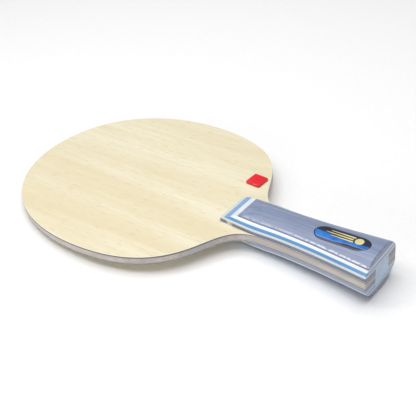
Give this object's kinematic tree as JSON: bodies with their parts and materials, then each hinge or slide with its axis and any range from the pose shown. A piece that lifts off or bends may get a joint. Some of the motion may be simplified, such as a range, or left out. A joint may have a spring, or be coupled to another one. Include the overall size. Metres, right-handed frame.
{
  "type": "table tennis paddle",
  "caption": "Bare table tennis paddle: round laminated wooden blade with fibre layers under its faces and a flared handle of dyed veneers, ready for rubber sheets.",
  "frame": {"origin": "on the paddle's middle line, midway along its whole length, level with the lowest point of the handle's underside", "axes": "+X across the blade, +Y from the butt to the tip of the head, +Z out of the forehand face, which carries the badge"},
  "size_m": [0.15, 0.2572, 0.0264],
  "materials": {
    "face_wood": "sanded and sealed, satin",
    "fibre": "resin-bound weave, seen as a thin dark line at the rim",
    "inner_wood": "sanded rim, matte",
    "core_wood": "sanded rim, matte",
    "grey_blue_veneer": "dyed and lacquered, satin gloss",
    "cream_veneer": "lacquered, satin gloss",
    "blue_veneer": "dyed and lacquered, satin gloss",
    "white_veneer": "bleached and lacquered, satin gloss",
    "slab_wood": "dyed and lacquered, streaky grain, satin gloss",
    "badge_dark": "gloss",
    "badge_blue": "gloss enamel",
    "badge_yellow": "gloss enamel",
    "marker_pad": "adhesive foam",
    "marker_red": "gloss",
    "label_blue": "satin film"
  },
  "bodies": {
    "root": {"forehand_face_ply": "face_wood", "forehand_fibre_layer": "fibre", "forehand_inner_ply": "inner_wood", "core_ply": "core_wood", "backhand_inner_ply": "inner_wood", "backhand_fibre_layer": "fibre", "backhand_face_ply": "face_wood", "forehand_base_lamina": "grey_blue_veneer", "forehand_cream_veneer": "cream_veneer", "forehand_blue_veneer": "blue_veneer", "forehand_white_veneer": "white_veneer", "forehand_top_slab": "slab_wood", "backhand_base_lamina": "grey_blue_veneer", "backhand_cream_veneer": "cream_veneer", "backhand_blue_veneer": "blue_veneer", "backhand_white_veneer": "white_veneer", "backhand_top_slab": "slab_wood", "badge_plate": "badge_dark", "badge_blue_band": "badge_blue", "badge_ball": "badge_yellow", "badge_streak_upper": "badge_yellow", "badge_streak_middle": "badge_yellow", "badge_streak_lower": "badge_yellow", "marker_adhesive_pad": "marker_pad", "marker_tile": "marker_red", "butt_label": "label_blue"}
  },
  "joints": []
}
